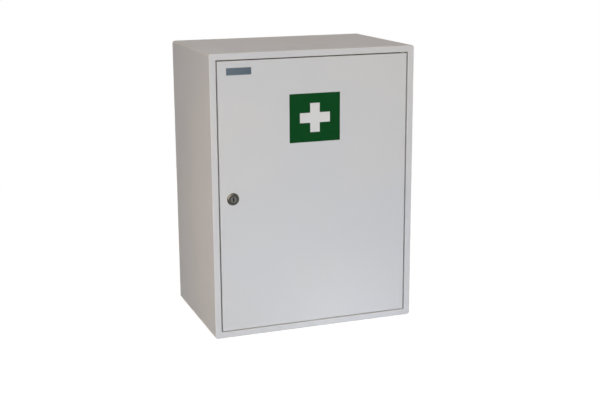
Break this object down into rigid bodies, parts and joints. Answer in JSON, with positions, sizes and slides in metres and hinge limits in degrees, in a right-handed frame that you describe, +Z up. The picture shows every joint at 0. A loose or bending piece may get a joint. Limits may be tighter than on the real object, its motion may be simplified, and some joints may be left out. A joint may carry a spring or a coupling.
{
  "type": "lockable medicine cabinet",
  "caption": "Wall-mounted steel medicine cabinet with a flush hinged door, a cam lock, a first-aid sign and lift-out shelves on slotted uprights.",
  "frame": {"origin": "middle of the case's underside", "axes": "+Z up, -Y out of the door's face, +X towards the hinges"},
  "size_m": [0.45, 0.3055, 0.6],
  "materials": {
    "case_paint": "semi-gloss powder coat, off-white, with a fine orange peel",
    "zinc_steel": "bright zinc plate, slightly blue",
    "lock_nickel": "polished nickel plate, a little worn round the key slot",
    "sign_green": "printed vinyl film, safety green",
    "sign_white": "printed vinyl film, white",
    "name_plate_metal": "bare anodised aluminium, brushed along its length",
    "washer_nylon": "natural nylon",
    "buffer_rubber": "black rubber"
  },
  "bodies": {
    "case": {"body_shell": "case_paint", "back_panel": "case_paint", "stop_angle_lock_side": "case_paint", "stop_angle_top": "case_paint", "stop_angle_bottom": "case_paint", "door_buffers": "buffer_rubber", "frame_hinge_plate_upper": "zinc_steel", "frame_hinge_plate_lower": "zinc_steel", "hinge_pin_upper": "zinc_steel", "hinge_pin_lower": "zinc_steel", "hinge_pin_ring": "zinc_steel", "hinge_washer_lower": "washer_nylon", "upright_left_front": "case_paint", "upright_left_rear": "case_paint", "upright_right_front": "case_paint", "upright_right_rear": "case_paint", "shelf_clips_lower": "zinc_steel", "shelf_clips_middle": "zinc_steel", "shelf_clips_upper": "zinc_steel"},
    "door": {"door_panel": "case_paint", "door_stiffener": "case_paint", "door_hinge_plate_upper": "zinc_steel", "door_hinge_plate_lower": "zinc_steel", "hinge_washer_upper": "washer_nylon", "sign_field": "sign_green", "sign_cross": "sign_white", "name_plate": "name_plate_metal", "lock_body": "lock_nickel", "lock_nut": "zinc_steel"},
    "lock_core": {"lock_plug": "lock_nickel", "lock_cam": "zinc_steel", "cam_washer": "zinc_steel", "cam_screw": "zinc_steel"},
    "lower_shelf": {"shelf_lower": "case_paint"},
    "middle_shelf": {"shelf_middle": "case_paint"},
    "upper_shelf": {"shelf_upper": "case_paint"}
  },
  "joints": [
    {"name": "door_hinge", "type": "hinge", "parent": "case", "child": "door", "pos_m": [0.1995, -0.1435, 0.3], "axis": [0, 0, 1], "range_deg": [0, 115]},
    {"name": "lock_turn", "type": "hinge", "parent": "door", "child": "lock_core", "pos_m": [-0.181, -0.14, 0.3], "axis": [0, 1, 0], "range_deg": [0, 90]},
    {"name": "lower_shelf_lift", "type": "slide", "parent": "case", "child": "lower_shelf", "axis": [0, 0, 1], "range_m": [0, 0.012]},
    {"name": "middle_shelf_lift", "type": "slide", "parent": "case", "child": "middle_shelf", "axis": [0, 0, 1], "range_m": [0, 0.012]},
    {"name": "upper_shelf_lift", "type": "slide", "parent": "case", "child": "upper_shelf", "axis": [0, 0, 1], "range_m": [0, 0.012]}
  ]
}
